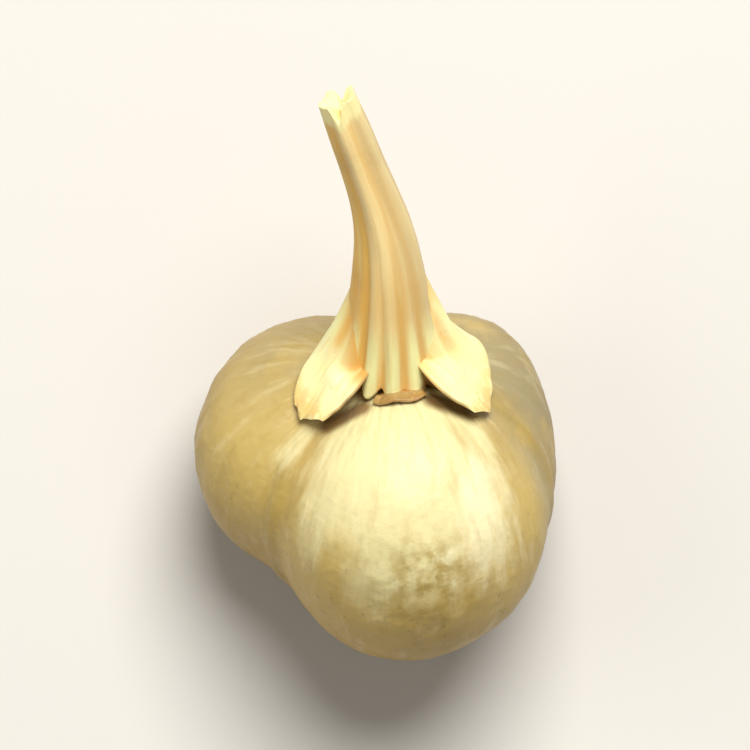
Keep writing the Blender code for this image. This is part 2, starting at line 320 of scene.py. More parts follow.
def keep(body, **fields):
    """Stores numbers or vectors of the loops' points on the mesh, for its material. The two end
    points, where there are any, take the mean of their loop."""
    for name, field in fields.items():
        vector = field.ndim == 3
        flat = field.reshape(-1, 3) if vector else field.reshape(-1)
        ends = np.stack([field[0].mean(0), field[-1].mean(0)])
        values = np.concatenate([flat, ends])[: len(body.data.vertices)].astype(np.float32)
        kind = "FLOAT_VECTOR" if vector else "FLOAT"
        attribute = body.data.attributes.new(name, kind, "POINT")
        attribute.data.foreach_set("vector" if vector else "value", values.ravel())


def light_value(colour):
    """A colour of 0 to 255 a channel, as a screen shows it, in the linear values of a shader."""
    shown = np.array(colour) / 255
    linear = np.where(shown <= 0.04045, shown / 12.92, ((shown + 0.055) / 1.055) ** 2.4)
    return (*linear.tolist(), 1.0)


class Finish:
    """A material written from the surface up: patterns, then layers of colour, then the shader."""

    def __init__(self, name):
        self.material = bpy.data.materials.new(name)
        self.material.use_nodes = True
        self.tree = self.material.node_tree
        self.shader = self.tree.nodes["Principled BSDF"]

    def node(self, kind, output, inputs, **settings):
        """A node with its settings. Sockets among the inputs are linked, and other values set."""
        made = self.tree.nodes.new("ShaderNode" + kind)
        for name, value in settings.items():
            setattr(made, name, value)
        for name, value in inputs.items():
            if isinstance(value, bpy.types.NodeSocket):
                self.tree.links.new(value, made.inputs[name])
            else:
                made.inputs[name].default_value = value
        return made.outputs[output]

    def field(self, name):
        """A number that the mesh carries."""
        return self.node("Attribute", "Fac", {}, attribute_name=name)

    def places(self, name):
        """A vector that the mesh carries."""
        return self.node("Attribute", "Vector", {}, attribute_name=name)

    def here(self):
        """The place on the object, in metres."""
        return self.node("TexCoord", "Object", {})

    def cloud(self, vector, size, detail=3.0, roughness=0.5, bend=0.0):
        """Soft random patches of about that size."""
        inputs = {"Vector": vector, "Scale": 1 / size, "Detail": detail}
        inputs.update({"Roughness": roughness, "Distortion": bend})
        return self.node("TexNoise", 0, inputs)

    def rise(self, value, low, high):
        """0 below low and 1 above high, or the other way round, with an even slope between."""
        inputs = {"Value": value, "From Min": low, "From Max": high}
        return self.node("MapRange", 0, inputs, interpolation_type="SMOOTHSTEP")

    def times(self, a, b):
        """Two numbers, multiplied."""
        return self.node("Math", 0, {0: a, 1: b}, operation="MULTIPLY")

    def plus(self, a, b):
        """Two numbers, added."""
        return self.node("Math", 0, {0: a, 1: b}, operation="ADD")

    def layer(self, below, above, share, cover=1.0):
        """One colour over another, as far as its share goes, and covering it that much at most."""
        if not isinstance(above, bpy.types.NodeSocket):
            above = light_value(above)
        if not isinstance(below, bpy.types.NodeSocket):
            below = light_value(below)
        if cover < 1:
            share = self.times(share, cover)
        return self.node("Mix", 2, {0: share, 6: below, 7: above}, data_type="RGBA")

    def done(self, body, colour, roughness, height, depth):
        """Wires colour, roughness and bump to the shader, and puts the material on the body."""
        self.tree.links.new(colour, self.shader.inputs["Base Color"])
        self.tree.links.new(roughness, self.shader.inputs["Roughness"])
        bump = self.node("Bump", 0, {"Height": height, "Distance": depth, "Strength": 1.0})
        self.tree.links.new(bump, self.shader.inputs["Normal"])
        body.data.materials.append(self.material)


azimuths = np.linspace(-math.pi, math.pi, HUSK_COLUMNS, endpoint=False)[None, :]
angles = (math.pi * (np.arange(HUSK_RINGS) + 0.5) / HUSK_RINGS)[:, None]
azimuths, angles = np.broadcast_arrays(azimuths, angles)

capsule_middle = np.array([0.0, 0.0, MIDDLE_HEIGHT])
smooth_form = to_floor_frame(on_capsule(azimuths, angles)).reshape(-1, 3)
least, most = smooth_form.min(0), smooth_form.max(0)
low, high = (np.array(corner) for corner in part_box("capsule"))
capsule_middle[0] = (low[0] + high[0] - least[0] - most[0]) / 2
capsule_middle[1] = low[1] - least[1]

husk_points = to_floor_frame(on_capsule(azimuths, angles, -husk_relief(azimuths, angles)))
husk_points[..., 2] = np.maximum(husk_points[..., 2], 0)
husk = closed_body("husk", husk_points)

ways = direction(azimuths, angles)
from_front = from_line(ways, *SUNNED_FRONT)
from_left = from_line(ways, *SUNNED_LEFT) + SUNNED_LEFT_WEAKER
bleached = bleached_side(azimuths, angles, *BLEACHED_RIGHT)
bleached = bleached + BLEACHED_LEFT_SHARE * bleached_side(-azimuths, angles, *BLEACHED_LEFT)
keep(
    husk,
    groove=from_groove(azimuths, angles) * 1000,
    ripe=angles / math.pi,
    bleached=bleached,
    sunned=np.minimum(from_front, from_left),
    crackle=from_line(ways, *CRACKLED_BELLY),
    stained=np.minimum(from_line(ways, *STAIN_LEFT), from_line(ways, *STAIN_RIGHT)),
    whitened=from_line(ways, *WHITENED_RIGHT),
    grain=husk_grain(azimuths, angles),
)

paint = Finish("husk_finish")
here = paint.here()
grain = paint.places("grain")
ripe = paint.field("ripe")
colour = paint.layer(SHOULDER_HUSK, MIDDLE_HUSK, paint.rise(ripe, 0.18, 0.42))
colour = paint.layer(colour, FAR_HUSK, paint.rise(ripe, 0.45, 0.80))
patches = paint.rise(paint.cloud(here, PATCH_SIZE, 4), 0.42, 0.70)
colour = paint.layer(colour, OLIVE_HUSK, patches, 0.55)
# Grey blotches on the right side and fewer on the left, fading towards the far end: partly the
# husk's own grey and partly painted shade on its flanks
worn = paint.rise(paint.cloud(here, WORN_SIZE, 5, 0.6), 0.26, 0.54)
worn = paint.times(worn, paint.field("bleached"))
colour = paint.layer(colour, GREY_HUSK, worn, 0.90)
# Painted shade: olive darkening in the grooves between the lobes, where the husk dips
grooves = paint.rise(paint.field("groove"), 0.60, 0.05)
colour = paint.layer(colour, OLIVE_HUSK, grooves, 0.45)
# Painted highlight: pale cream where the lamp's highlight falls on the front lobe and on the left
# lobe's inner side, with blotchy edges
blotches = paint.times(paint.cloud(grain, BLOTCH_SIZE, 5, 0.6), 0.9)
sunned = paint.rise(paint.plus(paint.field("sunned"), blotches), 1.12, 0.76)
colour = paint.layer(colour, SUNNED_HUSK, sunned, 0.85)
# Painted highlight: a whitish streak on the right of the front lobe, broken into flecks
flecks = paint.times(paint.cloud(grain, WHITE_FLECK_SIZE, 4, 0.6), 0.6)
whitened = paint.rise(paint.plus(paint.field("whitened"), flecks), 0.56, 0.30)
colour = paint.layer(colour, PALE_VEIN, whitened, 0.75)
streaks = paint.rise(paint.cloud(grain, STREAK_SIZE, 3, 0.55), 0.50, 0.70)
colour = paint.layer(colour, OLIVE_HUSK, streaks, 0.22)
pale_streaks = paint.rise(paint.cloud(grain, PALE_STREAK_SIZE, 4, 0.6), 0.52, 0.70)
colour = paint.layer(colour, PALE_VEIN, pale_streaks, 0.18)
crackle = paint.rise(paint.cloud(here, CRACKLE_SIZE, 4, 0.55, 0.2), 0.36, 0.66)
crackle = paint.times(crackle, paint.rise(paint.field("crackle"), 0.42, 0.04))
colour = paint.layer(colour, OLIVE_HUSK, crackle, 0.80)
freckles = paint.rise(paint.cloud(here, FRECKLE_SIZE, 3, 0.55), 0.60, 0.72)
freckles = paint.times(freckles, paint.rise(ripe, 0.30, 0.55))
colour = paint.layer(colour, FRECKLE, freckles, 0.35)
# Painted shade: the husk turns darker and warmer towards the bottom, where it curves under
height = paint.node("SeparateXYZ", "Z", {"Vector": here})
underside = paint.rise(height, UNDERSIDE_FROM, UNDERSIDE_FULL)
colour = paint.layer(colour, UNDER_HUSK, underside, 0.50)
# Painted shadow: dark brown on the husk under the flaps' lifted lower edges
stained = paint.rise(paint.field("stained"), 0.10, 0.03)
colour = paint.layer(colour, STAIN, stained, 0.85)
sheen = paint.rise(paint.cloud(here, SHEEN_SIZE, 4, 0.6), 0.2, 0.8)
roughness = paint.plus(paint.times(sheen, HUSK_ROUGHER), HUSK_ROUGHNESS)
pores = paint.cloud(here, PORE_SIZE, 4, 0.6)
threads = paint.cloud(grain, THREAD_SIZE, 3, 0.5)
paint.done(husk, colour, roughness, paint.plus(pores, threads), HUSK_BUMP)
paint.shader.inputs["Specular IOR Level"].default_value = HUSK_SPECULAR

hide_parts("capsule")
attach(husk, "root")


# The stalk carried the fruit. It is dry, ribbed straw that flares where it joins the husk, with
# five soft corners further up. It is broken off at its far end, where pale fibres stand out in two
# stubs.

STALK_LENGTH = 0.00805
# Shares of the length, with the radius there and how far the middle has moved to the left
STALK_STATIONS = (0.0, 0.12, 0.25, 0.40, 0.52, 0.64, 0.76, 0.88, 1.0)
STALK_RADII = (
    0.00127, 0.00115, 0.00103, 0.00089, 0.00076, 0.00063, 0.00056, 0.00053, 0.00047,
)
STALK_LEFT = (0.0, 0.00003, 0.00010, 0.00018, 0.00031, 0.00057, 0.00092, 0.00129, 0.00168)
STALK_BEND_DOWN = 0.0006
STALK_RIBS = 10
STALK_RIB_DEPTH = 0.13
RIB_ROUNDNESS = 1.6
RIBS_END = 0.62
FRONT_RIB = math.radians(4)
RIB_CROWDING = 0.28
CORNER_DEPTH = 0.08
CORNER_TURN = 0.6
FIBRE_DEPTH, FIBRE_SIZE = 0.009, 0.30
FINE_FIBRE_DEPTH, FINE_FIBRE_SIZE = 0.004, 0.12
STALK_SHRINKAGE = 0.012
# Where the foot spreads, under the two flaps and in front: azimuth, and how far it spreads
FOOT_SPREADS = (
    (math.radians(-84), 0.00038),
    (math.radians(88), 0.00038),
    (math.radians(7), 0.00008),
)
FOOT_SPREAD_TOP = 0.30
FOOT_SPREAD_TURN = 1.3
STALK_FOOT_GAP = 0.00005
STALK_SINK = 0.00022
# The ribs' ends, as shares of the length, and their rounding
TOE_SCALLOP = 0.018
TOE_LIFT = 0.004
TOE_RISE = 0.014
TOE_RISE_STARTS = (0.05, 0.45)
TOE_RISE_ENDS = (1.9, 1.3)
TOE_ROUNDING, TOE_ROUNDING_REACH = 0.00006, 0.012
# The front toes stand free. Beside them, and up to this share of the length, the foot is darkened
# with painted shade.
FREE_TOES = math.radians(2)
FREE_TOES_HALF = (0.50, 0.62)
DARK_FOOT = (0.06, 0.03)
HEM_TUCK = math.radians(5)
# The broken end: its stubs, the split between them and the slant are shares of its depth
BREAK_DEPTH = 0.00034
STUB_HEIGHT = 0.10
SPLIT_DEPTH, SPLIT_WIDTH, SPLIT_TURN = 1.3, 0.30, 0.1
SLANT, SLANT_TURN = 0.15, 0.4
BREAK_REACH = 16
BREAK_RAGGEDNESS = 0.00002
BREAK_HOLLOW = 0.00030
BREAK_LIP = 0.00006
STALK_COLUMNS = 240
STALK_ROWS = 290
STALK_ROW_CROWDING = 1.1
HEM_ROWS = 10
BREAK_ROWS = 12
BREAK_ROW_CROWDING = 1.3

PALE_STRAW = (240, 214, 152)
GOLD_STRAW = (220, 176, 98)
OLIVE_STRAW = (222, 176, 72)
DARK_STRAW = (160, 114, 50)
GILT_FURROW = (224, 174, 84)
LEMON_CREST = (240, 238, 172)
TORN_STRAW = (240, 230, 166)
WORN_STRAW = (204, 184, 136)

STRAW_GRAIN_SCALE = 0.0006
STRAW_STAIN_SIZE = 0.0016
STRAW_LINE_SIZE = 0.00012
STRAW_PORE_SIZE = 0.00008
STRAW_ROUGHNESS, STRAW_ROUGHER = 0.40, 0.2
STRAW_BUMP = 0.000010


def smooth_through(place, stations, values):
    """A smooth curve through the values at the stations, straight on beyond the last one: cubic
    pieces that share their slopes with their neighbours."""
    stations, values = np.array(stations), np.array(values)
    slopes = np.gradient(values, stations)
    piece = np.searchsorted(stations, place, side="right") - 1
    piece = np.clip(piece, 0, len(stations) - 2)
    width = stations[piece + 1] - stations[piece]
    t = np.clip((place - stations[piece]) / width, 0, 1)
    beyond = place - np.clip(place, stations[0], stations[-1])
    eased = t * t * (3 - 2 * t)
    first, second = values[piece], values[piece + 1]
    bent = slopes[piece] * width * t * (1 - t) ** 2 - slopes[piece + 1] * width * t * t * (1 - t)
    return first + (second - first) * eased + bent + slopes[piece + 1] * beyond


def stalk_middle(along):
    """The stalk's centre line: nearly straight up from the capsule at first, then bending left
    and down."""
    foot = capsule_reach(0.0, 0.0) + STALK_FOOT_GAP
    left = smooth_through(along, STALK_STATIONS, STALK_LEFT)
    down = STALK_BEND_DOWN * np.clip(along, 0, None) ** 2
    return np.stack([-left, down, foot + STALK_LENGTH * along], axis=-1)


def round_stalk(along, azimuth, radius):
    """Points at a radius round the centre line, and the way up the stalk there, which is taken
    just above the foot for all points below it."""
    above_foot = np.maximum(along, 0.01)
    up = stalk_middle(above_foot + 0.01) - stalk_middle(above_foot - 0.01)
    up /= np.linalg.norm(up, axis=-1, keepdims=True)
    side = np.cross((0.0, 1.0, 0.0), up)
    side /= np.linalg.norm(side, axis=-1, keepdims=True)
    out = np.sin(azimuth)[..., None] * side - np.cos(azimuth)[..., None] * np.cross(up, side)
    return stalk_middle(along) + radius[..., None] * out, up


def rib_height(along, azimuth):
    """The ribs' relief, about -1 in a furrow and 1 on a crest: ten rounded ribs of uneven strength
    that stand closer together at the front and wander a little."""
    turn = azimuth - FRONT_RIB + RIB_CROWDING * np.sin(azimuth - FRONT_RIB)
    wander = 0.08 * np.sin(3.1 * along + 2 * azimuth) + 0.04 * np.sin(9 * along + azimuth + 2)
    turn = turn + wander * np.clip(3 * along, 0, 1)
    strength = 1 + 0.20 * np.sin(2 * azimuth + 1.3) + 0.15 * np.sin(3 * azimuth + 4)
    return (2 * np.abs(np.cos(STALK_RIBS / 2 * turn)) ** RIB_ROUNDNESS - 1) * strength


def plain_radius(along):
    """The stalk's radius without ribs."""
    return smooth_through(along, STALK_STATIONS, STALK_RADII)


def stalk_corners(azimuth):
    """1 on the stalk's five corners and -1 between them."""
    return np.cos(STALK_RIBS / 2 * azimuth + CORNER_TURN)


def stalk_grain(along, azimuth):
    """Places for patterns that run up the stalk: round it on a ring with a radius of 1, and along
    it drawn out."""
    return np.stack([np.sin(azimuth), np.cos(azimuth), along * 0.5], axis=-1)


def stalk_shape(along, azimuth):
    """How much the radius swells: ribs that fade upwards, the five corners above them, and fibres
    that run the whole length."""
    ribbed = np.clip(1 - along / RIBS_END, 0, 1)
    grain = stalk_grain(along, azimuth)
    relief = STALK_RIB_DEPTH * ribbed * (rib_height(along, azimuth) / 2 - 0.1)
    relief = relief + CORNER_DEPTH * (1 - ribbed) * stalk_corners(azimuth)
    relief = relief + FIBRE_DEPTH * waves(grain, FIBRE_SIZE, 31, 40)
    return relief + FINE_FIBRE_DEPTH * waves(grain, FINE_FIBRE_SIZE, 33, 40) - STALK_SHRINKAGE


def foot_spread(along, azimuth):
    """How far the foot spreads: a soft bump round each middle that fades upwards."""
    spread = 0
    for middle, width in FOOT_SPREADS:
        turn = (azimuth - middle + math.pi) % (2 * math.pi) - math.pi
        near = np.cos(np.clip(turn, -FOOT_SPREAD_TURN, FOOT_SPREAD_TURN) * 1.2) ** 2
        spread = spread + width * near * np.clip(1 - along / FOOT_SPREAD_TOP, 0, 1.2) ** 2
    return spread


def torn_height(azimuth):
    """How far the broken end stands out: two stubs on either side of a split, one a little higher,
    with small waves."""
    split = ridges(np.sin(azimuth + SPLIT_TURN), SPLIT_WIDTH)
    slant = SLANT * np.sin(azimuth - SLANT_TURN)
    torn = BREAK_DEPTH * (STUB_HEIGHT - SPLIT_DEPTH * split + slant)
    ring = stalk_grain(0 * azimuth, azimuth)
    return torn + BREAK_RAGGEDNESS * (waves(ring, 0.5, 32) + waves(ring, 0.2, 34))


azimuths = np.linspace(-math.pi, math.pi, STALK_COLUMNS, endpoint=False)[None, :]
toe_ends = TOE_LIFT - TOE_SCALLOP * rib_height(0 * azimuths, azimuths)
left_toes = smooth_step(-azimuths, *TOE_RISE_STARTS) * smooth_step(-azimuths, *TOE_RISE_ENDS)
toe_ends = toe_ends + TOE_RISE * left_toes
up_side = np.linspace(0, 1, STALK_ROWS)[:, None] ** STALK_ROW_CROWDING
alongs = toe_ends + (1 - toe_ends) * up_side
azimuths = np.broadcast_to(azimuths, alongs.shape)
radii = plain_radius(alongs) * (1 + stalk_shape(alongs, azimuths)) + foot_spread(alongs, azimuths)
near_toe = np.clip(1 - (alongs - toe_ends) / TOE_ROUNDING_REACH, 0, 1)
side_points, up = round_stalk(alongs, azimuths, radii - TOE_ROUNDING * near_toe**2)

torn = np.clip(alongs, 0, 1) ** BREAK_REACH * torn_height(azimuths)
side_points = side_points + torn[..., None] * up
inward = np.linspace(0, 1, BREAK_ROWS + 1)[1:-1, None, None]
end_middle = side_points[-1].mean(0) - BREAK_HOLLOW * up[-1]
end_points = side_points[-1] + (end_middle - side_points[-1]) * inward**BREAK_ROW_CROWDING
end_points = end_points + BREAK_LIP * np.sin(inward * math.pi) * up[-1]

foot = side_points[0]
foot_angle = np.arctan2(np.linalg.norm(foot[:, :2], axis=-1), foot[:, 2])
foot_azimuth = np.arctan2(foot[:, 0], -foot[:, 1])
foot_height = np.linalg.norm(foot, axis=-1) - capsule_reach(foot_azimuth, foot_angle)
tuck = np.linspace(1, 0, HEM_ROWS, endpoint=False)[:, None]
hem_height = foot_height - (foot_height + STALK_SINK) * tuck**2
hem = on_capsule(foot_azimuth, foot_angle - HEM_TUCK * tuck, hem_height)
loops = np.concatenate([hem, side_points, end_points])
stalk = closed_body("stalk_straw", to_floor_frame(loops))


def all_rows(field, end=None):
    """The values on the stalk's side, with the lowest row's on the hem, and on the broken end one
    value, or else the highest row's."""
    last = np.repeat(field[-1:], BREAK_ROWS - 1, 0)
    if end is not None:
        last = np.full_like(last, end)
    return np.concatenate([np.repeat(field[:1], HEM_ROWS, 0), field, last])


# Painted shade: the foot beside the front toes and the hem tucked into the husk are marked for dark
# straw
beside_toes = smooth_step(np.abs(azimuths - FREE_TOES), *FREE_TOES_HALF)
sheltered = all_rows(beside_toes * smooth_step(alongs, *DARK_FOOT), 0)
sheltered[:HEM_ROWS] = 1
crest = rib_height(alongs, azimuths) * np.clip(1.1 - alongs / RIBS_END, 0, 1)
crest = crest + 0.8 * stalk_corners(azimuths) * np.clip(alongs / RIBS_END, 0, 1)
keep(
    stalk,
    crest=all_rows(crest, 0.5),
    up_stalk=all_rows(alongs, 1.02),
    left_side=all_rows(-np.sin(azimuths), 0),
    sheltered=sheltered,
    thread=all_rows(STRAW_GRAIN_SCALE * stalk_grain(alongs, azimuths)),
)

paint = Finish("straw_finish")
here = paint.here()
crest = paint.field("crest")
up_stalk = paint.field("up_stalk")
left_side = paint.field("left_side")
colour = paint.layer(GOLD_STRAW, PALE_STRAW, paint.rise(crest, -1.5, 0.8))
# The stalk's left side is darker olive, partly the straw's own tint and partly painted shade, and
# its right side greyer
colour = paint.layer(colour, OLIVE_STRAW, paint.rise(left_side, 0.20, 0.80), 0.80)
colour = paint.layer(colour, WORN_STRAW, paint.rise(left_side, -0.15, -0.75), 0.60)
furrows = paint.times(paint.rise(up_stalk, 0.50, 0.34), paint.rise(crest, 1.4, -0.9))
stronger_left = paint.plus(paint.times(paint.rise(left_side, 0.25, 0.60), 0.40), 0.45)
colour = paint.layer(colour, GILT_FURROW, paint.times(furrows, stronger_left))
crests = paint.times(paint.rise(up_stalk, 0.30, 0.14), paint.rise(crest, -0.7, 0.5))
colour = paint.layer(colour, LEMON_CREST, crests, 0.95)
# Painted shade: dark straw on the foot beside the front toes and on the hem where it dives into the
# husk
colour = paint.layer(colour, DARK_STRAW, paint.field("sheltered"), 0.9)
stains = paint.rise(paint.cloud(here, STRAW_STAIN_SIZE, 4, 0.55), 0.52, 0.75)
colour = paint.layer(colour, DARK_STRAW, stains, 0.25)
lines = paint.cloud(paint.places("thread"), STRAW_LINE_SIZE, 4, 0.6)
colour = paint.layer(colour, GOLD_STRAW, paint.rise(lines, 0.46, 0.70), 0.35)
colour = paint.layer(colour, TORN_STRAW, paint.rise(lines, 0.50, 0.34), 0.30)
frayed = paint.rise(paint.plus(up_stalk, paint.times(lines, 0.05)), 0.955, 0.985)
colour = paint.layer(colour, TORN_STRAW, frayed, 0.9)
roughness = paint.plus(paint.times(lines, STRAW_ROUGHER), STRAW_ROUGHNESS)
height = paint.plus(lines, paint.times(paint.cloud(here, STRAW_PORE_SIZE, 3, 0.6), 0.5))
paint.done(stalk, colour, roughness, height, STRAW_BUMP)

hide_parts("stalk")
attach(stalk, "root")


# The five sepals are dry, thin, leaf-like blades that grew round the stalk's foot and flare out
# over the husk's shoulder like a skirt. All are torn: two are left as flaps with a lifted edge,
# and three as short stubs.

BLADE_AROUND = 128
BLADE_ROWS = 130
BLADE_ROW_CROWDING = 1.6
BLADE_ROUNDNESS = 0.7
ROOT_THICK = 0.00016
TIP_THICK = 0.00010
ROOT_SINK = 0.00015
ROOT_CURVE = 0.25
EDGE_SINK = 0.00012
GROWN_DEPTH = 0.00016
BLADE_RIB_HEIGHT = 0.00004
BLADE_GRAIN_HEIGHT = 0.000008
BLADE_WAVE_HEIGHT = 0.00003

# Each blade's name, how far up the stalk it starts, the angle and height of the bend in its hollow
# curve, the angle that it reaches, the azimuths of its two edges and how far it reaches, each at
# even steps, the lift of its first edge, tip and second edge, the depth of its tears and their seed
SEPALS = (
    (
        "sepal_front", 0.0, 17, 0.00000, 22.7,
        (-16, -16, -16, -16),
        (36, 36, 36, 36),
        (0.95, 1.0, 0.97, 1.0, 0.95),
        (0.00000, 0.00000, 0.00000), 0.012, 41,
    ),
    (
        "sepal_left", 0.36, 23, 0.00035, 42,
        (-130, -126, -121, -110, -98, -91, -84, -75, -62),
        (-62, -44, -33, -28, -27, -35, -42, -47, -56),
        (0.94, 0.97, 0.98, 0.94, 0.86),
        (0.00002, 0.00008, 0.00044), 0.016, 42,
    ),
    (
        "sepal_right", 0.36, 23, 0.00035, 42,
        (80, 66, 48, 41, 38, 44, 52, 57, 62),
        (130, 128, 126, 124, 122, 120, 117, 100, 75),
        (0.88, 0.94, 0.90, 0.86, 0.81),
        (0.00042, 0.00008, 0.00002), 0.016, 43,
    ),
    (
        "sepal_back_left", 0.20, 20, 0.00030, 27,
        (-176, -174, -170, -166),
        (-124, -126, -130, -134),
        (0.8, 0.95, 1.0, 0.95, 0.8),
        (0.00003, 0.00006, 0.00003), 0.05, 44,
    ),
    (
        "sepal_back_right", 0.20, 20, 0.00030, 26,
        (132, 134, 138, 142),
        (182, 180, 176, 172),
        (0.8, 0.95, 1.0, 0.95, 0.8),
        (0.00003, 0.00006, 0.00003), 0.05, 45,
    ),
)
# Which way across a flap its front edge lies, and how amber that edge is
FRONT_EDGES = {"sepal_left": (1, 1.0), "sepal_right": (-1, 0.5)}

PALE_SEPAL = (240, 238, 172)
CREAM_SEPAL = (244, 238, 190)
GOLD_SEPAL = (224, 178, 92)
BROWN_SEPAL = (156, 116, 46)
AMBER_SEPAL = (208, 150, 62)
# Painted shadow: dark brown along the flaps' lifted edges and on the front stub
RIM_SEPAL = (140, 100, 46)

BLADE_GRAIN_SCALE = 0.001
BLADE_LINE_SIZE = 0.00010
BLADE_PATCH_SIZE = 0.0010
BLADE_MOTTLE_SIZE = 0.0004
BLADE_SPOT_SIZE = 0.0005
BLADE_PORE_SIZE = 0.00008
BLADE_ROUGHNESS, BLADE_ROUGHER = 0.42, 0.2
BLADE_BUMP = 0.000010


def skirt(azimuth, share, start, bend_angle, bend_height, reach_angle):
    """A hollow curve at each azimuth, from the stalk's side down to the husk: quadratic, through
    the start, towards the bend and to the far point, and nowhere lower than just above the husk."""
    start = np.broadcast_to(start, azimuth.shape)
    top, _ = round_stalk(start, azimuth, plain_radius(start) - ROOT_SINK)
    bend = on_capsule(azimuth, math.radians(bend_angle), bend_height)
    far = on_capsule(azimuth, math.radians(reach_angle), ROOT_THICK / 2)
    share = share[..., None]
    points = (1 - share) ** 2 * top + 2 * share * (1 - share) * bend + share**2 * far
    length = np.linalg.norm(points, axis=-1)
    angle = np.arccos(points[..., 2] / length)
    least = capsule_reach(np.arctan2(points[..., 0], -points[..., 1]), angle) + ROOT_THICK / 2
    return points * (np.maximum(least, length) / length)[..., None]


def front_edge(across, share, name):
    """1 along the root half of the edge that a flap turns to the front, and 0 on the rest of the
    blade and on the stubs."""
    if name not in FRONT_EDGES:
        return 0 * share
    turned = FRONT_EDGES[name][0] * across
    return smooth_step(turned, -0.30, 0.90) * (1 - smooth_step(share, 0.44, 0.58))


def grown_on(points, share):
    """Points near a blade's front edge, drawn in to just under the stalk's surface as far as their
    share goes."""
    along = (points[..., 2] - capsule_reach(0.0, 0.0) - STALK_FOOT_GAP) / STALK_LENGTH
    out = points - stalk_middle(along)
    out[..., 2] = 0
    radius = np.linalg.norm(out, axis=-1)
    azimuth = np.arctan2(out[..., 0], -out[..., 1])
    surface = plain_radius(along) * (1 + stalk_shape(along, azimuth)) + foot_spread(along, azimuth)
    above = np.clip(radius - (surface - GROWN_DEPTH), 0, None)
    pull = share * smooth_step(along, 0.02, 0.07) * above / radius
    return points - pull[..., None] * out


def blade_middle(across, along, blade):
    """The middle of a blade's thickness, from edge to edge and root to tip, with its lifted edges.
    Both edges are smooth curves, and small waves tear the far end."""
    name, start, bend_angle, bend_height, reach_angle, *edges = blade
    first, second, ends, lifts, tear, seed = edges
    marks = np.stack([across, 0 * across, 0 * across], axis=-1)
    ragged = waves(marks, 0.9, seed) + 0.5 * waves(marks, 0.35, seed + 100)
    end = smooth_through(across, np.linspace(-1, 1, len(ends)), ends) - tear * (1 + ragged)
    share = along * end
    stations = np.linspace(0, 1, len(first))
    low_edge = smooth_through(share, stations, np.radians(first))
    high_edge = smooth_through(share, stations, np.radians(second))
    azimuth = low_edge + (high_edge - low_edge) * (across + 1) / 2
    root = start * (1 - ROOT_CURVE * across**2)
    points = skirt(azimuth, share, root, bend_angle, bend_height, reach_angle)
    points = to_floor_frame(grown_on(points, front_edge(across, share, name)))
    wave = waves(np.stack([across, along, 0 * along], axis=-1), 0.9, seed + 300)
    lift = lifts[0] * np.clip(-across, 0, 1) ** 2 + lifts[2] * np.clip(across, 0, 1) ** 2
    lift = (lift + BLADE_WAVE_HEIGHT * wave) * smooth_step(share, 0.25, 0.8)
    points[..., 2] += lift + lifts[1] * smooth_step(share, 0.4, 1.0)
    return points, azimuth, share


def blade_loops(blade):
    """A thin blade: each loop runs over its outer face and back along its inner face, half the
    thickness off the middle, which thins towards the tip and is rounded at the edges and the end.
    The stalk's ribs go on over it, and its root's edges are tucked in."""
    around = np.linspace(0, 2 * math.pi, BLADE_AROUND, endpoint=False)[None, :]
    along = 1 - (1 - np.linspace(0, 1, BLADE_ROWS)[:, None]) ** BLADE_ROW_CROWDING
    across = np.sign(np.cos(around)) * np.abs(np.cos(around)) ** BLADE_ROUNDNESS
    face = np.sign(np.sin(around)) * np.abs(np.sin(around)) ** BLADE_ROUNDNESS
    across, along = np.broadcast_arrays(across, along)
    middle, azimuth, share = blade_middle(across, along, blade)
    step = 0.01
    one_side, other_side = (blade_middle(across + way, along, blade)[0] for way in (step, -step))
    further, nearer = (blade_middle(across, along + way, blade)[0] for way in (step, -step))
    out = np.cross(further - nearer, one_side - other_side)
    out /= np.linalg.norm(out, axis=-1, keepdims=True)
    ribs = rib_height(0 * share, azimuth)
    fade = 1 - 0.75 * smooth_step(share, 0.35, 1.0) if blade[0] != "sepal_front" else 1.0
    round_end = np.sqrt(np.clip(1 - smooth_step(along, 0.9, 1.0) ** 2, 0.0, 1))
    thick = (ROOT_THICK + (TIP_THICK - ROOT_THICK) * share) * round_end
    grains = waves(np.stack([azimuth * 3, share, 0 * share], axis=-1), 0.5, blade[-1] + 500)
    tucked = EDGE_SINK * np.abs(across) ** 4 * (1 - smooth_step(share, 0.10, 0.45))
    relief = BLADE_RIB_HEIGHT * ribs * fade + BLADE_GRAIN_HEIGHT * grains
    height = relief + thick * face / 2 - tucked
    # Painted shade: marks the blade's inner face, which turns towards the husk, for a brown tint
    inside = np.broadcast_to(smooth_step(-np.sin(around), 0.0, 0.5), share.shape)
    return middle + height[..., None] * out, across, share, azimuth, ribs, inside


paint = Finish("sepal_finish")
here = paint.here()
outwards = paint.field("outwards")
lines = paint.cloud(paint.places("blade_grain"), BLADE_LINE_SIZE, 4, 0.6)
colour = paint.layer(GOLD_SEPAL, PALE_SEPAL, paint.rise(paint.field("crest"), -1.0, 0.6))
colour = paint.layer(colour, PALE_SEPAL, paint.rise(outwards, 0.30, 0.60))
colour = paint.layer(colour, GOLD_SEPAL, paint.rise(outwards, 0.35, 0.05), 0.55)
patches = paint.rise(paint.cloud(here, BLADE_PATCH_SIZE, 4, 0.55), 0.45, 0.65)
colour = paint.layer(colour, CREAM_SEPAL, patches, 0.4)
amber = paint.rise(paint.field("front_edge"), 0.1, 0.8)
colour = paint.layer(colour, AMBER_SEPAL, amber, 0.85)
mottled = paint.rise(paint.cloud(here, BLADE_MOTTLE_SIZE, 4, 0.6), 0.34, 0.56)
mottled = paint.times(paint.rise(outwards, 0.64, 0.88), mottled)
colour = paint.layer(colour, GOLD_SEPAL, mottled, 0.75)
# Painted shade: brown on the blades' inner faces, which turn towards the husk
colour = paint.layer(colour, BROWN_SEPAL, paint.field("inside"), 0.55)
